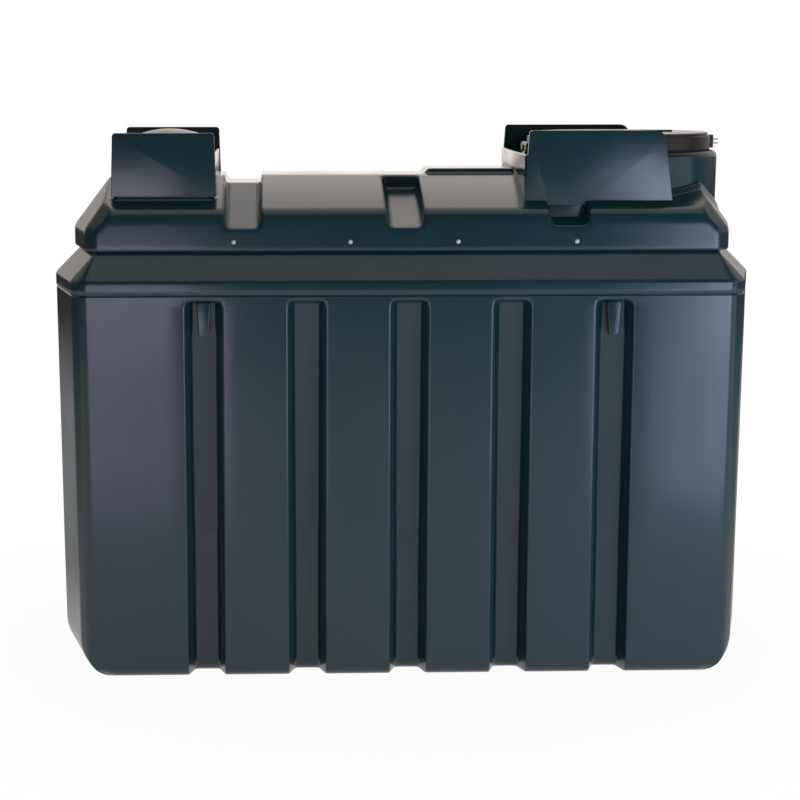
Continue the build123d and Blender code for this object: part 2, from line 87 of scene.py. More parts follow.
# Seam, band, slope and lip over the wall, with a line of (out, height, radius) up the outside
SEAM_DEPTH = 0.0030
BAND_PROUD = 0.001
BAND_TOP = 1.048
BAND_RADIUS = 0.016
SLOPE_IN = -0.074
SLOPE_TOP = 1.124
LIP_RADIUS = 0.009
LIP_TOP = 1.146
SHOULDER_LINE = [
    (0.0, 1.0085, 0.0), (0.0, 1.0097, 0.0), (-SEAM_DEPTH, 1.0110, 0.0), (-SEAM_DEPTH, 1.0125, 0.0),
    (BAND_PROUD - 0.0015, 1.0140, 0.0), (BAND_PROUD, 1.0158, 0.0), (BAND_PROUD, 1.028, 0.0),
    (BAND_PROUD, BAND_TOP, BAND_RADIUS), (SLOPE_IN, SLOPE_TOP, LIP_RADIUS), (SLOPE_IN, LIP_TOP, 0.0),
]

# Hood: skirt, pads and ends
HOOD_FOOT = 1.1198
CREST = 1.2218
CREST_RADIUS = 0.042
END_CREST = 1.1748
END_CREST_RADIUS = 0.022
ROOF_TOP = 1.3058
ROOF_RUN = 0.262
RIDGE_RADIUS = 0.100
END_SLOPE = 1.33
END_RIDGE_RADIUS = 0.030
ROOF_CROWN = 0.006
CROWN_RADIUS = 2.0
RIDGE_STEPS = 5

# Slots and notches across the hood's long edges
CUT_START = -0.50
CUT_TOP = 1.6
SLOT_HALF = 0.0475
SLOT_CORNER = 0.016
SLOT_ONE_X = -0.428
SLOT_ONE_FLOOR = 1.1778
SLOT_ONE_TOP = 1.2848
SLOT_ONE_SLOPE = (SLOT_ONE_TOP - SLOT_ONE_FLOOR) / ROOF_RUN
SLOT_ONE_END = 0.01
SLOT_ONE_ACROSS = 0.2
SLOT_TWO_X = -0.008
SLOT_TWO_FLOOR = 1.1798
SLOT_TWO_SLOPE = 0.355
SLOT_TWO_END = -0.108
NOTCH_X = 0.418
NOTCH_HALF = 0.050
NOTCH_FLOOR = 1.1847
NOTCH_SLOPE = 0.27
NOTCH_END = -0.280

# Rib, gauge plinth, collar and hole round the drum, the hollow under the hood, and its remeshing
RIB = (0.0565, 0.300)
RIB_HALF = 0.080
RIB_FOOT = 1.29
RIB_TOP = 1.3208
RIB_SLANT = 0.026
PLINTH = (-0.7647, -0.5015)
PLINTH_HALF = 0.286
PLINTH_FOOT = 1.20
PLINTH_TOP = 1.2578
DRUM_X = 0.598
COLLAR_RADIUS = 0.276
COLLAR_RISE = 0.013
COLLAR_SIDES = 72
DRUM_HOLE = 0.2615
HOLE_SIDES = 96
HOLE_TOP = 1.5
BELOW_HOOD = 1.0
UNDER_HOOD = 1.172
HOLLOWS = ((0.80, 0.325), (0.84, 0.280))
VOXEL = 0.005
SMOOTH_FACTOR = 0.5
SMOOTH_ROUNDS = 8
FACES_KEPT = 0.5

# Guards and lugs: edges, sunk feet of the end walls, and tolerances of the mesh work
GUARD_ROUNDING = 0.0045
LUG_ROUNDING = 0.004
ROUNDING_SEGMENTS = 4
ROUNDED_ANGLE = math.radians(30.0)
WALL_FEET = 1.33
WALL_FEET_SINK = 0.022
PLATE_OVERLAP = 0.0005
WELD = 5e-5
CUT_NEAR = 1e-6
FLAT_ANGLE = math.radians(0.8)

# Screws along the skirt, with a head's profile as (radius, rise)
SCREW_X = (-0.452, -0.151, 0.128, 0.436)
SCREW_Y = 0.357
SCREW_Z = 1.145
HEAD_RISE = 0.0036
HEAD_PROFILE = [(0.0024, 0.0033), (0.0043, 0.0024), (0.0056, 0.0010), (0.0060, -0.0010)]
HEAD_SIDES = 20

# Noises in the finishes: scale, detail, roughness and stretch
NOISE_LOW = 0.3
NOISE_HIGH = 0.7
PATCH_NOISE = (2.2, 4.0, 0.55)
SMEAR_NOISE = (6.0, 2.0, 0.5, (1, 1, 0.5))
WAVE_NOISE = (3.2, 0.5, 0.4)
GRAIN_NOISE = (110.0, 0.0, 0.5)
GRAIN_DEPTH = 0.00006
SMOOTHER = 0.03
ROUGHER = 0.04

# Plastics: darker and lighter colour, roughness, specular level and depth of the slow waves
GREEN = ((0.0095, 0.0385, 0.0440), (0.0115, 0.0435, 0.0500), 0.20, 0.45, 0.0012)
BLACK = ((0.0150, 0.0132, 0.0130), (0.0205, 0.0180, 0.0172), 0.30, 0.35, 0.0004)
TANK_GREEN = ((0.0100, 0.0200, 0.0190), (0.0140, 0.0270, 0.0250), 0.42, 0.25, 0.0012)

# Other finishes: noise of the colour, darker and lighter colour, noise of the roughness and its two ends
RUBBER = (60.0, (0.004, 0.004, 0.004), (0.009, 0.009, 0.009), 140.0, 0.6, 0.75)
STEEL = (30.0, (0.30, 0.30, 0.31), (0.42, 0.42, 0.43), 300.0, 0.16, 0.3)
STEEL_STRETCH = (1, 8, 1)
PALE_CAPS = (300.0, (0.74, 0.74, 0.74), (0.84, 0.84, 0.84), 200.0, 0.30, 0.42)

# Studio: floor, its fades as (from, to, value at the first, value at the second), world, and lamps as
# (name, place, aim, size, power, colour)
FLOOR_SIZE = 30.0
FLOOR_GREY = 0.86
MIRROR_FADE = (4.5, 8.0, 1.0, 0.12)
BEHIND_FADE = (-0.6, 0.8, 1.0, 0.35)
SHADOW_FADE = (0.9, 1.8, 0.955, 1.0)
STUDIO_LEAN = (0.12, 1.0, 0.0)
STUDIO_SIDES = (0.16, 0.26, 1.0, 0.42)
STUDIO_STOPS = [(0.30, (0.08, 0.08, 0.08)), (0.55, (0.24, 0.23, 0.22)), (0.82, (1.65, 1.50, 1.42))]
LAMPS = [
    ("overhead", (0.0, -0.4, 4.2), (0, 0, 0.8), (4.0, 2.6), 24.0, (1, 1, 1)),
    ("left_card", (-1.20, -2.4, 0.50), (-1.20, 0, 0.50), (1.15, 0.98), 6.6, (0.80, 0.60, 1.0)),
    ("left_box", (-1.25, -2.4, 0.78), (-1.25, 0, 0.78), (1.2, 0.36), 4.6, (0.85, 0.85, 1.0)),
    ("right_card", (1.85, -2.4, 0.56), (1.85, 0, 0.56), (1.60, 1.10), 23.0, (0.62, 0.62, 1.0)),
    ("right_box", (1.95, -2.4, 0.85), (1.95, 0, 0.85), (1.5, 0.60), 18.0, (0.68, 0.80, 1.0)),
    ("side_box", (3.4, -1.3, 1.3), (0.6, -0.2, 1.2), (2.0, 2.0), 10.0, (1.0, 0.96, 0.93)),
]

# Camera
CAMERA_AT = (-0.3569, -5.7396, 1.5894)
CAMERA_TILT = 90 - 9.039
CAMERA_TURN = -1.946
CAMERA_LENS = 94.10
CAMERA_SENSOR = 36.0
CAMERA_SHIFT = 0.0731
CAMERA_FAR = 100.0


# Meshes

def new_object(name, data):
    """Object round a mesh, lamp or camera, in the scene."""
    obj = bpy.data.objects.new(name, data)
    scene.collection.objects.link(obj)
    return obj


def mesh_from(name, verts, faces):
    """Mesh from points and faces."""
    mesh = bpy.data.meshes.new(name)
    mesh.from_pydata([tuple(v) for v in verts], [], faces)
    return mesh


def object_from_bmesh(name, bm):
    """Object from an edit mesh, which is used up."""
    mesh = bpy.data.meshes.new(name)
    bm.to_mesh(mesh)
    bm.free()
    return new_object(name, mesh)


def apply_modifiers(obj):
    """Give an object the mesh that its modifiers make, without the modifiers."""
    graph = bpy.context.evaluated_depsgraph_get()
    done = bpy.data.meshes.new_from_object(obj.evaluated_get(graph))
    obj.modifiers.clear()
    old = obj.data
    obj.data = done
    bpy.data.meshes.remove(old)


def combine(obj, others, operation):
    """Boolean of one object with several, which are used up."""
    for other in others:
        cut = obj.modifiers.new("cut", "BOOLEAN")
        cut.operation = operation
        cut.solver = "EXACT"
        cut.object = other
    apply_modifiers(obj)
    for other in others:
        bpy.data.objects.remove(other)


def shade(obj, finish, nodes):
    """Finish and smooth shading for a piece of the tank, with the CAD nodes it stands for hidden and the
    piece hung under the tank's body.
    """
    for polygon in obj.data.polygons:
        polygon.use_smooth = True
    obj.data.materials.clear()
    obj.data.materials.append(finish)
    if nodes:
        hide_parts(*nodes)
    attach(obj, "tank")


# Plans and profiles

def edge_line(p, q):
    """Unit normal (to the right of p to q) and distance of the line through two points."""
    dx = q[0] - p[0]
    dy = q[1] - p[1]
    length = math.hypot(dx, dy)
    return dy / length, -dx / length, (dy * p[0] - dx * p[1]) / length


def facets(plan):
    """Kind, normal and reach of each facet round a plan, anticlockwise from the front."""
    half_depth, half_length, run, long_in, deep_in = plan
    front = (half_length - run, half_depth)
    corner = (half_length - long_in, half_depth - deep_in)
    middle = (half_length, END_FLAT_HALF)
    cx, cy, c_reach = edge_line(corner, front)
    bx, by, b_reach = edge_line(middle, corner)
    quarter = [("corner", cx, cy, c_reach), ("bow", bx, by, b_reach)]
    found = [("side", 0.0, -1.0, half_depth)]
    found += [(kind, nx, -ny, reach) for kind, nx, ny, reach in quarter]
    found += [("end", 1.0, 0.0, half_length)]
    found += [(kind, nx, ny, reach) for kind, nx, ny, reach in reversed(quarter)]
    found += [("side", 0.0, 1.0, half_depth)]
    found += [(kind, -nx, ny, reach) for kind, nx, ny, reach in quarter]
    found += [("end", -1.0, 0.0, half_length)]
    found += [(kind, -nx, -ny, reach) for kind, nx, ny, reach in reversed(quarter)]
    return found


def meet(a, b):
    """Point where two lines (normal x, normal y, reach) cross."""
    det = a[0] * b[1] - a[1] * b[0]
    return Vector(((a[2] * b[1] - a[1] * b[2]) / det, (a[0] * b[2] - a[2] * b[0]) / det))


def rounded(points, steps=5):
    """Points (x, y, radius) as an open line, with each radius as a run of short chords."""
    done = []
    for i, (x, y, radius) in enumerate(points):
        here = Vector((x, y))
        if radius == 0:
            done.append(here)
            continue
        back = (Vector(points[i - 1][:2]) - here).normalized()
        ahead = (Vector(points[i + 1][:2]) - here).normalized()
        turn = math.pi - back.angle(ahead)
        reach = radius * math.tan(turn / 2)
        middle = here + (back + ahead).normalized() * radius / math.cos(turn / 2)
        start = here + back * reach - middle
        sweep = -turn if start.angle_signed(here + ahead * reach - middle) > 0 else turn
        for k in range(steps + 1):
            spoke = start.copy()
            spoke.rotate(Matrix.Rotation(sweep * k / steps, 2))
            done.append(middle + spoke)
    return done


# Bund

def channel_profile():
    """Distances in from a channel's mouth at which its rounded wall is sampled."""
    steep = math.pi / 2 - CHANNEL_DRAFT
    run = CHANNEL_DEPTH * math.tan(CHANNEL_DRAFT)
    out = MOUTH_RADIUS * math.tan(steep / 2)
    into = FLOOR_RADIUS * math.tan(steep / 2)
    turns = [steep * k / FILLET_STEPS for k in range(FILLET_STEPS + 1)]
    samples = [-out + MOUTH_RADIUS * math.sin(t) for t in turns]
    samples += [run + into - FLOOR_RADIUS * math.sin(t) for t in reversed(turns)]
    return samples, run, out, into, steep


SAMPLES, FLOOR_RUN, MOUTH_OUT, FLOOR_INTO, STEEP = channel_profile()


def channel_depth_at(x, z):
    """How deep the front wall is pressed in at a point."""
    deepest = 0.0
    for middle in CHANNELS:
        side = abs(x - middle) - (CHANNEL_HALF - CHANNEL_CORNER)
        rise = z - (CHANNEL_TOP - CHANNEL_CORNER)
        outside = math.hypot(max(side, 0), max(rise, 0)) + min(max(side, rise), 0) - CHANNEL_CORNER
        d = -outside
        if d <= -MOUTH_OUT:
            continue
        if d < -MOUTH_OUT + MOUTH_RADIUS * math.sin(STEEP):
            depth = MOUTH_RADIUS - math.sqrt(max(MOUTH_RADIUS ** 2 - (d + MOUTH_OUT) ** 2, 0))
        elif d < FLOOR_RUN + FLOOR_INTO - FLOOR_RADIUS * math.sin(STEEP):
            depth = d / math.tan(CHANNEL_DRAFT)
        elif d < FLOOR_RUN + FLOOR_INTO:
            short = FLOOR_RUN + FLOOR_INTO - d
            depth = CHANNEL_DEPTH - FLOOR_RADIUS + math.sqrt(FLOOR_RADIUS ** 2 - short ** 2)
        else:
            depth = CHANNEL_DEPTH
        deepest = max(deepest, depth)
    return deepest


def front_columns():
    """X of each column of the front wall, left to right, close together at the channels' edges."""
    columns = []
    for middle in CHANNELS:
        columns += [middle - CHANNEL_HALF + s for s in SAMPLES]
        columns += [middle - FLOOR_COLUMN, middle + FLOOR_COLUMN]
        columns += [middle + CHANNEL_HALF - s for s in reversed(SAMPLES)]
    first = columns[0]
    last = columns[-1]
    between = []
    for a, b in zip(columns, columns[1:]):
        between.append(a)
        if b - a > 2 * CHANNEL_HALF:
            between += [a + (b - a) * k / RIB_COLUMNS for k in range(1, RIB_COLUMNS)]
    between.append(last)
    return [first - s for s in reversed(END_COLUMNS)] + between + [last + s for s in END_COLUMNS]


def wall_out(kind, z):
    """Outward place of the wall at a height, with its draft and rounded foot."""
    radius = FOOT_RADII[kind]
    out = -WALL_DRAFT * (1 - z / WALL_TOP)
    if z < radius:
        out -= radius - math.sqrt(radius ** 2 - (radius - z) ** 2)
    return out


def bund_rows():
    """Rows from the foot, up the outside, over the lip and down the inside: (height, out, inset)."""
    steps = [1 - math.cos(math.radians(FOOT_STEP * k)) for k in range(90 // FOOT_STEP + 1)]
    arcs = {round(radius * step, 5) for radius in FOOT_RADII.values() for step in steps}
    rows = [(z, None, 0.0) for z in sorted(arcs)]
    rows += [(z, None, 0.0) for z in WALL_ROWS]
    rows += [(CHANNEL_TOP - s, None, 0.0) for s in reversed(SAMPLES)]
    rows += [(p.y, p.x, 0.0) for p in rounded(SHOULDER_LINE)]
    rows += [(LIP_TOP, SLOPE_IN - WALL, 0.0), (SLOPE_TOP - WALL, SLOPE_IN - WALL, 0.0)]
    rows += [(BAND_TOP - WALL, -WALL, 0.0)]
    rows += [(z, None, WALL) for z in INNER_ROWS]
    rows += [(2 * WALL, None, 3 * WALL)]
    return rows


def ring_corners(lines):
    """Corners between neighbouring lines; a facet that has run out shrinks to a point."""
    count = len(lines)
    corners = [meet(lines[i - 1], lines[i]) for i in range(count)]
    for i, line in enumerate(lines):
        after = (i + 1) % count
        along = Vector((-line[1], line[0]))
        if (corners[after] - corners[i]).dot(along) < 0:
            corners[i] = meet(lines[i - 1], lines[after])
            corners[after] = corners[i]
    return corners


def waved(p, z, inset):
    """A point of a ring, pushed in by the panels' waves."""
    push = 0.0
    if inset == 0:
        spot = Vector((p.x * WAVE_ACROSS, p.y * WAVE_ACROSS, z * WAVE_UP + WAVE_SEED))
        push = noise.noise(spot) * PANEL_WAVE
    toward = Vector((p.x * WAVE_LEAN, p.y, 0.0)).normalized()
    keep = min(1.0, z / WAVE_FADE)
    return Vector((p.x, p.y, z)) - toward * (PANEL_WAVE * WAVE_REST + push) * keep


def bund_ring(z, out, inset, plan_facets, columns):
    """One level row of points round the bund."""
    lines = []
    for kind, nx, ny, reach in plan_facets:
        lines.append((nx, ny, reach + (wall_out(kind, z) - inset if out is None else out)))
    corners = ring_corners(lines)
    ring = []
    for i, (kind, nx, ny, reach) in enumerate(plan_facets):
        start = corners[i]
        end = corners[(i + 1) % len(lines)]
        before = lines[i - 1]
        turn = math.acos(max(-1, min(1, before[0] * nx + before[1] * ny)))
        room = ROUNDING_SHARE * min((corners[i - 1] - start).length, (end - start).length)
        reach_in = min(PLAN_ROUNDING * math.tan(turn / 2), room)
        back = (corners[i - 1] - start).normalized() * reach_in
        ahead = (end - start).normalized() * reach_in
        for k in range(ROUNDING_STEPS + 1):
            t = k / ROUNDING_STEPS
            ring.append(start + back * (1 - t) ** 2 + ahead * t ** 2)
        if kind == "side":
            for x in (columns if ny < 0 else reversed(columns)):
                depth = channel_depth_at(x, z) if out is None else 0.0
                ring.append(Vector((x, (abs(start.y) - depth) * ny)))
        else:
            points = FACET_POINTS[kind]
            ring += [start.lerp(end, k / (points + 1)) for k in range(1, points + 1)]
    return [waved(p, z, inset) for p in ring]


def bund_skin():
    """The bund as one skin: rounded foot, ribbed walls, seam, band, slope and lip, closed inside."""
    plan_facets = facets(BUND_PLAN)
    columns = front_columns()
    rings = [bund_ring(z, out, inset, plan_facets, columns) for z, out, inset in bund_rows()]
    count = len(rings[0])
    verts = [p for ring in rings for p in ring]
    faces = []
    for k in range(len(rings) - 1):
        for i in range(count):
            j = (i + 1) % count
            faces.append((k * count + i, k * count + j, (k + 1) * count + j, (k + 1) * count + i))
    faces.append(tuple(reversed(range(count))))
    faces.append(tuple(range((len(rings) - 1) * count, len(rings) * count)))
    mesh = mesh_from("bund", verts, faces)
    bm = bmesh.new()
    bm.from_mesh(mesh)
    bmesh.ops.remove_doubles(bm, verts=bm.verts, dist=WELD)
    bmesh.ops.triangulate(bm, faces=[f for f in bm.faces if len(f.verts) > 4])
    bm.to_mesh(mesh)
    bm.free()
    return new_object("bund", mesh)


# Hood

def fillet_planes(p, n0, n1, radius, steps=FILLET_STEPS):
    """Tangent planes (normal, distance) round a corner between two faces of a profile."""
    middle = p - (n0 + n1) * radius / (1 + n0.dot(n1))
    planes = []
    for k in range(1, steps):
        n = n0.slerp(n1, k / steps)
        planes.append((n, n.dot(middle) + radius))
    return planes


def hood_planes(lift=0.0):
    """Every plane that bounds the hood, as (normal, distance)."""
    planes = [(Vector((0, 0, 1)), ROOF_TOP + lift), (Vector((0, 0, -1)), -HOOD_FOOT)]
    out = Vector((1, 0))
    up = Vector((0, 1))
    for kind, nx, ny, reach in facets(HOOD_PLAN):
        if kind == "side":
            crest, run, radius, ridge = CREST + lift, ROOF_RUN, CREST_RADIUS, RIDGE_RADIUS
        else:
            run = (ROOF_TOP - END_CREST) / END_SLOPE
            crest, radius, ridge = END_CREST + lift, END_CREST_RADIUS, END_RIDGE_RADIUS
        low = Vector((reach, crest))
        high = Vector((reach - run, ROOF_TOP + lift))
        middle = (low + high) / 2 + Vector((0, ROOF_CROWN if kind == "side" else 0))
        lower = Vector((middle.y - low.y, low.x - middle.x)).normalized()
        upper = Vector((high.y - middle.y, middle.x - high.x)).normalized()
        profile = [(out, reach), (lower, lower.dot(low)), (upper, upper.dot(high))]
        profile += fillet_planes(low, out, lower, radius)
        if kind == "side":
            profile += fillet_planes(middle, lower, upper, CROWN_RADIUS)
        profile += fillet_planes(high, upper, up, ridge, RIDGE_STEPS)
        planes += [(Vector((nx * n.x, ny * n.x, n.y)), d) for n, d in profile]
    return planes


def drum_planes(radius, sides):
    """Planes of an upright cylinder round the drum's axis."""
    turns = [2 * math.pi * k / sides for k in range(sides)]
    return [(Vector((math.cos(t), math.sin(t), 0)), radius + DRUM_X * math.cos(t)) for t in turns]


def keep_side(bm, at, normal):
    """Cut a mesh with a plane, drop what is on the normal's side, and return the rim's edges."""
    everything = bm.verts[:] + bm.edges[:] + bm.faces[:]
    cut = bmesh.ops.bisect_plane(bm, geom=everything, dist=CUT_NEAR, plane_co=at, plane_no=normal,
                                 clear_outer=True)
    return [e for e in cut["geom_cut"] if isinstance(e, bmesh.types.BMEdge)]


def convex(name, planes):
    """Solid inside a set of planes."""
    bm = bmesh.new()
    bmesh.ops.create_cube(bm, size=4.0)
    for n, d in planes:
        rim = keep_side(bm, n * d, n)
        if len(rim) > 2:
            bmesh.ops.contextual_create(bm, geom=rim)
    bmesh.ops.recalc_face_normals(bm, faces=bm.faces)
    return object_from_bmesh(name, bm)


def block(name, x0, x1, y0, y1, z0, z1):
    """Box between two corners."""
    corners = [(x, y, z) for z in (z0, z1) for y in (y0, y1) for x in (x0, x1)]
    faces = [(0, 2, 3, 1), (4, 5, 7, 6), (0, 1, 5, 4), (2, 6, 7, 3), (0, 4, 6, 2), (1, 3, 7, 5)]
    return new_object(name, mesh_from(name, corners, faces))


def trough(name, x, half, floor, slope, y_end, mirrored):
    """Round-cornered cutter that runs out through the front, or through the rear."""
    line = rounded([(x - half, CUT_TOP, 0.0), (x - half, floor, SLOT_CORNER), (x + half, floor, SLOT_CORNER),
                    (x + half, CUT_TOP, 0.0)])
    flip = -1 if mirrored else 1
    verts = []
    for y in (CUT_START, y_end):
        verts += [(p.x, y * flip, p.y + slope * (y + HOOD_PLAN[0])) for p in line]
    count = len(line)
    faces = [(i, (i + 1) % count, count + (i + 1) % count, count + i) for i in range(count)]
    faces += [tuple(reversed(range(count))), tuple(range(count, 2 * count))]
    mesh = mesh_from(name, verts, faces)
    bm = bmesh.new()
    bm.from_mesh(mesh)
    bmesh.ops.recalc_face_normals(bm, faces=bm.faces)
    bm.to_mesh(mesh)
    bm.free()
    return new_object(name, mesh)


def slanted_rib():
    """Raised block on the roof, with its left end leaning in."""
    left, right = RIB
    foot = left - RIB_SLANT / 2
    top = left + RIB_SLANT / 2
    verts = []
    for y in (-RIB_HALF, RIB_HALF):
        verts += [(foot, y, RIB_FOOT), (right, y, RIB_FOOT), (right, y, RIB_TOP), (top, y, RIB_TOP)]
    faces = [(0, 1, 2, 3), (7, 6, 5, 4), (0, 4, 5, 1), (1, 5, 6, 2), (2, 6, 7, 3), (3, 7, 4, 0)]
    return new_object("rib", mesh_from("rib", verts, faces))


def hood_skin():
    """The hood as one soft-edged moulding: pads, slots, notches, rib, plinth and collar."""
    hood = convex("hood", hood_planes())
    plinth = block("plinth", PLINTH[0], PLINTH[1], -PLINTH_HALF, PLINTH_HALF, PLINTH_FOOT, PLINTH_TOP)
    collar = convex("collar", hood_planes(COLLAR_RISE) + drum_planes(COLLAR_RADIUS, COLLAR_SIDES))
    combine(hood, [slanted_rib(), plinth, collar], "UNION")
    cutters = []
    for mirrored in (False, True):
        for x, half, floor, slope, y_end in (
            (SLOT_ONE_X, SLOT_HALF, SLOT_ONE_FLOOR, SLOT_ONE_SLOPE, SLOT_ONE_END),
            (SLOT_TWO_X, SLOT_HALF, SLOT_TWO_FLOOR, SLOT_TWO_SLOPE, SLOT_TWO_END),
            (NOTCH_X, NOTCH_HALF, NOTCH_FLOOR, NOTCH_SLOPE, NOTCH_END),
        ):
            cutters.append(trough("cut", x, half, floor, slope, y_end, mirrored))
    cutters.append(block("cut", SLOT_ONE_X - SLOT_HALF, SLOT_ONE_X + SLOT_HALF, -SLOT_ONE_ACROSS,
                         SLOT_ONE_ACROSS, SLOT_ONE_TOP, CUT_TOP))
    for x, y in HOLLOWS:
        cutters.append(block("cut", -x, x, -y, y, BELOW_HOOD, UNDER_HOOD))
    combine(hood, cutters, "DIFFERENCE")
    ends = [(Vector((0, 0, 1)), HOLE_TOP), (Vector((0, 0, -1)), -BELOW_HOOD)]
    combine(hood, [convex("cut", drum_planes(DRUM_HOLE, HOLE_SIDES) + ends)], "DIFFERENCE")
    remesh = hood.modifiers.new("voxels", "REMESH")
    remesh.mode = "VOXEL"
    remesh.voxel_size = VOXEL
    soften = hood.modifiers.new("soften", "SMOOTH")
    soften.factor = SMOOTH_FACTOR
    soften.iterations = SMOOTH_ROUNDS
    fewer = hood.modifiers.new("fewer", "DECIMATE")
    fewer.ratio = FACES_KEPT
    apply_modifiers(hood)
    return hood


# Guards

def node_mesh(node):
    """A welded copy of a node's mesh, with flat regions joined into single faces."""
    mesh = frame["nodes"][node].data.copy()
    bm = bmesh.new()
    bm.from_mesh(mesh)
    bmesh.ops.remove_doubles(bm, verts=bm.verts, dist=WELD)
    bmesh.ops.dissolve_degenerate(bm, edges=bm.edges, dist=1e-5)
    bmesh.ops.dissolve_limit(bm, angle_limit=FLAT_ANGLE, verts=bm.verts, edges=bm.edges)
    bm.to_mesh(mesh)
    bm.free()
    return mesh


def rounded_nodes(name, nodes, radius, sink_below=None, sink=0.0, cut_at=None):
    """Copies of CAD nodes as one piece, with rounded edges; feet may be sunk or cut level."""
    whole = bmesh.new()
    for node in nodes:
        obj = new_object(node + "_copy", node_mesh(node))
        bm = bmesh.new()
        bm.from_mesh(obj.data)
        if sink_below is not None:
            for vertex in bm.verts:
                if vertex.co.z < sink_below:
                    vertex.co.z -= sink
        if cut_at is not None:
            rim = keep_side(bm, (0, 0, cut_at), (0, 0, -1))
            bmesh.ops.edgeloop_fill(bm, edges=rim)
        bm.to_mesh(obj.data)
        bm.free()
        bevel = obj.modifiers.new("round", "BEVEL")
        bevel.width = radius
        bevel.segments = ROUNDING_SEGMENTS
        bevel.limit_method = "ANGLE"
        bevel.angle_limit = ROUNDED_ANGLE
        bevel.miter_outer = "MITER_ARC"
        weighted = obj.modifiers.new("normals", "WEIGHTED_NORMAL")
        weighted.keep_sharp = True
        apply_modifiers(obj)
        whole.from_mesh(obj.data)
        bpy.data.objects.remove(obj)
    return object_from_bmesh(name, whole)


# Materials

class Material:
    """A node-built material, with its shader and short ways to add nodes."""

    def __init__(self, name):
        self.material = bpy.data.materials.new(name)
        self.material.use_nodes = True
        self.tree = self.material.node_tree
        self.tree.nodes.clear()
        self.out = self.tree.nodes.new("ShaderNodeOutputMaterial")
        self.shader = self.tree.nodes.new("ShaderNodeBsdfPrincipled")
        self.tree.links.new(self.shader.outputs[0], self.out.inputs[0])
        self.place = self.tree.nodes.new("ShaderNodeTexCoord").outputs["Object"]

    def link(self, a, b):
        self.tree.links.new(a, b)

    def noise(self, scale, detail=3.0, roughness=0.5, stretch=(1, 1, 1)):
        """Noise over the object's own coordinates."""
        mapping = self.tree.nodes.new("ShaderNodeMapping")
        mapping.inputs["Scale"].default_value = stretch
        self.link(self.place, mapping.inputs[0])
        node = self.tree.nodes.new("ShaderNodeTexNoise")
        node.inputs["Scale"].default_value = scale
        node.inputs["Detail"].default_value = detail
        node.inputs["Roughness"].default_value = roughness
        self.link(mapping.outputs[0], node.inputs[0])
        return node.outputs[0]

    def ramp(self, value, stops):
        """Colour by value, from (place, colour) stops."""
        node = self.tree.nodes.new("ShaderNodeValToRGB")
        ramp = node.color_ramp
        while len(ramp.elements) < len(stops):
            ramp.elements.new(0.5)
        for element, (place, colour) in zip(ramp.elements, stops):
            element.position = place
            element.color = (*colour, 1.0)
        self.link(value, node.inputs[0])
        return node.outputs[0]

    def math(self, operation, a, b):
        node = self.tree.nodes.new("ShaderNodeMath")
        node.operation = operation
        self.link(a, node.inputs[0])
        self.link(b, node.inputs[1])
        return node.outputs[0]

    def span(self, value, low, high, out_low, out_high):
        """Value from one range to another, held at its ends."""
        node = self.tree.nodes.new("ShaderNodeMapRange")
        for index, number in enumerate((low, high, out_low, out_high), 1):
            node.inputs[index].default_value = number
        self.link(value, node.inputs[0])
        return node.outputs[0]

    def bump(self, height, distance, base=None):
        """Normal from a height, over another normal where one is given."""
        node = self.tree.nodes.new("ShaderNodeBump")
        node.inputs["Distance"].default_value = distance
        node.inputs["Strength"].default_value = 1.0
        self.link(height, node.inputs["Height"])
        if base is not None:
            self.link(base, node.inputs["Normal"])
        return node.outputs[0]


def moulded_plastic(name, dark, light, rough, specular, wave):
    """Plastic in two close shades, with slow waves and a fine grain in the surface."""
    m = Material(name)
    colour = m.ramp(m.noise(*PATCH_NOISE), [(NOISE_LOW, dark), (NOISE_HIGH, light)])
    m.link(colour, m.shader.inputs["Base Color"])
    smear = m.span(m.noise(*SMEAR_NOISE), NOISE_LOW, NOISE_HIGH, rough - SMOOTHER, rough + ROUGHER)
    m.link(smear, m.shader.inputs["Roughness"])
    waves = m.bump(m.noise(*WAVE_NOISE), wave)
    m.link(m.bump(m.noise(*GRAIN_NOISE), GRAIN_DEPTH, waves), m.shader.inputs["Normal"])
    m.shader.inputs["Specular IOR Level"].default_value = specular
    return m.material


def grained(name, scale, dark, light, rough_scale, smooth, rough, stretch=(1, 1, 1), metallic=0.0):
    """Rubber, metal or cap with a fine grain in its colour and roughness."""
    m = Material(name)
    colour = m.ramp(m.noise(scale), [(NOISE_LOW, dark), (NOISE_HIGH, light)])
    m.link(colour, m.shader.inputs["Base Color"])
    grain = m.span(m.noise(rough_scale, stretch=stretch), NOISE_LOW, NOISE_HIGH, smooth, rough)
    m.link(grain, m.shader.inputs["Roughness"])
    m.shader.inputs["Metallic"].default_value = metallic
    return m.material


green = moulded_plastic("green_plastic", *GREEN)
finishes = {
    "green_plastic": green,
    "black_plastic": moulded_plastic("black_plastic", *BLACK),
    "tank_plastic": moulded_plastic("tank_plastic", *TANK_GREEN),
    "seal_rubber": grained("seal_rubber", *RUBBER),
    "bright_steel": grained("bright_steel", *STEEL, STEEL_STRETCH, 1.0),
}
for row in frame["record"]["subparts"]:
    mesh = frame["nodes"][row["node"]].data
    mesh.materials.clear()
    mesh.materials.append(finishes[row["material_slot"]])


# Pieces

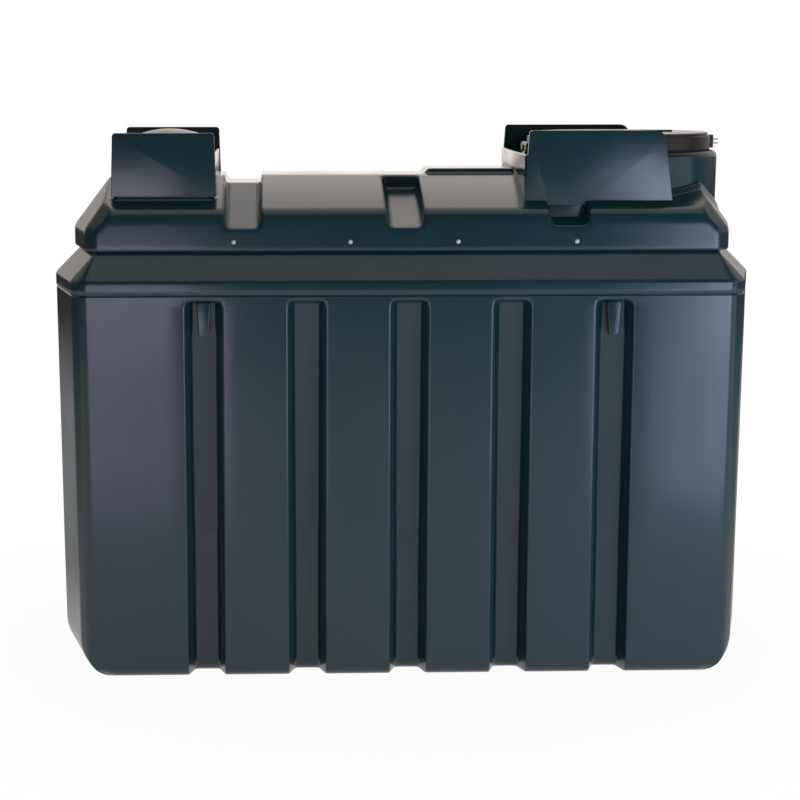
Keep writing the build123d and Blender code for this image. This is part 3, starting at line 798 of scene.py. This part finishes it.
def screw_heads():
    """Pale domed heads along the hood's front and rear edge."""
    bm = bmesh.new()
    turns = [2 * math.pi * k / HEAD_SIDES for k in range(HEAD_SIDES)]
    for x in SCREW_X:
        for side in (-1, 1):
            rings = []
            for r, rise in HEAD_PROFILE:
                y = side * (SCREW_Y + rise)
                spots = [(x + r * math.cos(t), y, SCREW_Z + r * math.sin(t)) for t in turns]
                rings.append([bm.verts.new(spot) for spot in spots])
            tip = bm.verts.new((x, side * (SCREW_Y + HEAD_RISE), SCREW_Z))
            for k in range(HEAD_SIDES):
                after = (k + 1) % HEAD_SIDES
                bm.faces.new((tip, rings[0][k], rings[0][after]))
                for low, high in zip(rings, rings[1:]):
                    bm.faces.new((low[k], high[k], high[after], low[after]))
            bm.faces.new(rings[-1])
    bmesh.ops.recalc_face_normals(bm, faces=bm.faces)
    return object_from_bmesh("skirt_screws", bm)


bund_nodes = ["bund_front_wall", "bund_floor", "bund_rear_wall", "bund_left_end", "bund_right_end",
              "bund_shoulder"]
gauge_plates = ["gauge_guard_front", "gauge_guard_rear"]
lid_plates = ["lid_guard_front", "lid_guard_rear"]
end_walls = ["gauge_guard_left_wall", "gauge_guard_right_wall", "lid_guard_left_wall"]
plates_foot = PLINTH_TOP - PLATE_OVERLAP

shade(bund_skin(), green, bund_nodes)
shade(rounded_nodes("lugs", ["lifting_lugs"], LUG_ROUNDING), green, ["lifting_lugs"])
shade(hood_skin(), green, ["hood_roof", "hood_skirt"])
shade(rounded_nodes("gauge_plates", gauge_plates, GUARD_ROUNDING, cut_at=plates_foot), green, gauge_plates)
shade(rounded_nodes("lid_plates", lid_plates, GUARD_ROUNDING), green, lid_plates)
shade(screw_heads(), grained("pale_caps", *PALE_CAPS), [])
shade(rounded_nodes("end_walls", end_walls, GUARD_ROUNDING, sink_below=WALL_FEET, sink=WALL_FEET_SINK), green,
      end_walls)


# Floor, surroundings, lamps and camera

def white_floor():
    """Pale sheet: white to the camera but for the object's shadow, and fading away in reflections."""
    mesh = bpy.data.meshes.new("floor")
    reach = FLOOR_SIZE
    corners = [(-reach, -reach, 0), (reach, -reach, 0), (reach, reach, 0), (-reach, reach, 0)]
    mesh.from_pydata(corners, [], [(0, 1, 2, 3)])
    floor = new_object("floor", mesh)
    m = Material("floor")
    m.shader.inputs["Base Color"].default_value = (FLOOR_GREY, FLOOR_GREY, FLOOR_GREY, 1)
    m.shader.inputs["Roughness"].default_value = 0.9
    m.shader.inputs["Specular IOR Level"].default_value = 0.0
    away = m.tree.nodes.new("ShaderNodeVectorMath")
    away.operation = "LENGTH"
    m.link(m.place, away.inputs[0])
    distance = away.outputs["Value"]
    path = m.tree.nodes.new("ShaderNodeLightPath")
    axes = m.tree.nodes.new("ShaderNodeSeparateXYZ")
    m.link(m.place, axes.inputs[0])
    lit = m.math("MULTIPLY", m.span(distance, *MIRROR_FADE), path.outputs["Is Glossy Ray"])
    lit = m.math("MULTIPLY", lit, m.span(axes.outputs["Y"], *BEHIND_FADE))
    seen = m.math("MAXIMUM", path.outputs["Is Camera Ray"], path.outputs["Is Transmission Ray"])
    white = m.tree.nodes.new("ShaderNodeEmission")
    m.link(m.math("MAXIMUM", lit, seen), white.inputs["Strength"])
    share = m.math("MULTIPLY", seen, m.span(distance, *SHADOW_FADE))
    share = m.math("MAXIMUM", share, path.outputs["Is Glossy Ray"])
    mix = m.tree.nodes.new("ShaderNodeMixShader")
    m.link(share, mix.inputs[0])
    m.link(m.shader.outputs[0], mix.inputs[1])
    m.link(white.outputs[0], mix.inputs[2])
    m.link(mix.outputs[0], m.out.inputs[0])
    mesh.materials.append(m.material)


def surroundings():
    """White for the camera; for light and reflections a studio, dark on the photographer's side."""
    world = bpy.data.worlds.new("studio")
    scene.world = world
    world.use_nodes = True
    tree = world.node_tree
    tree.nodes.clear()
    place = tree.nodes.new("ShaderNodeTexCoord")
    axes = tree.nodes.new("ShaderNodeVectorMath")
    axes.operation = "DOT_PRODUCT"
    axes.inputs[1].default_value = STUDIO_LEAN
    tree.links.new(place.outputs["Generated"], axes.inputs[0])
    ramp = tree.nodes.new("ShaderNodeValToRGB")
    stops = ramp.color_ramp.elements
    stops.new(0.5)
    for stop, (at, colour) in zip(stops, STUDIO_STOPS):
        stop.position = at
        stop.color = (*colour, 1.0)
    span = tree.nodes.new("ShaderNodeMapRange")
    span.inputs["From Min"].default_value = -1.0
    tree.links.new(axes.outputs["Value"], span.inputs["Value"])
    tree.links.new(span.outputs[0], ramp.inputs[0])
    light = tree.nodes.new("ShaderNodeBackground")
    tree.links.new(ramp.outputs[0], light.inputs[0])
    across = tree.nodes.new("ShaderNodeSeparateXYZ")
    tree.links.new(place.outputs["Generated"], across.inputs[0])
    aside = tree.nodes.new("ShaderNodeMath")
    aside.operation = "ABSOLUTE"
    tree.links.new(across.outputs["X"], aside.inputs[0])
    sides = tree.nodes.new("ShaderNodeMapRange")
    for socket, value in zip(("From Min", "From Max", "To Min", "To Max"), STUDIO_SIDES):
        sides.inputs[socket].default_value = value
    tree.links.new(aside.outputs[0], sides.inputs["Value"])
    tree.links.new(sides.outputs[0], light.inputs["Strength"])
    seen = tree.nodes.new("ShaderNodeBackground")
    seen.inputs[0].default_value = (1.0, 1.0, 1.0, 1)
    path = tree.nodes.new("ShaderNodeLightPath")
    shown = tree.nodes.new("ShaderNodeMath")
    shown.operation = "MAXIMUM"
    tree.links.new(path.outputs["Is Camera Ray"], shown.inputs[0])
    tree.links.new(path.outputs["Is Transmission Ray"], shown.inputs[1])
    mix = tree.nodes.new("ShaderNodeMixShader")
    tree.links.new(shown.outputs[0], mix.inputs[0])
    tree.links.new(light.outputs[0], mix.inputs[1])
    tree.links.new(seen.outputs[0], mix.inputs[2])
    out = tree.nodes.new("ShaderNodeOutputWorld")
    tree.links.new(mix.outputs[0], out.inputs[0])


def lamp(name, at, aim, size, power, colour):
    """Soft rectangular lamp that the camera doesn't see."""
    data = bpy.data.lights.new(name, "AREA")
    data.shape = "RECTANGLE"
    data.size, data.size_y = size
    data.energy = power
    data.color = colour
    obj = new_object(name, data)
    obj.visible_camera = False
    obj.location = at
    obj.rotation_euler = (Vector(aim) - Vector(at)).to_track_quat("-Z", "Y").to_euler()


white_floor()
surroundings()
for row in LAMPS:
    lamp(*row)

camera_data = bpy.data.cameras.new("camera")
camera = new_object("camera", camera_data)
camera.location = CAMERA_AT
camera.rotation_euler = (math.radians(CAMERA_TILT), 0, math.radians(CAMERA_TURN))
camera_data.sensor_width = CAMERA_SENSOR
camera_data.lens = CAMERA_LENS
camera_data.shift_x = CAMERA_SHIFT
camera_data.clip_end = CAMERA_FAR
scene.camera = camera
scene.view_settings.view_transform = "Standard"
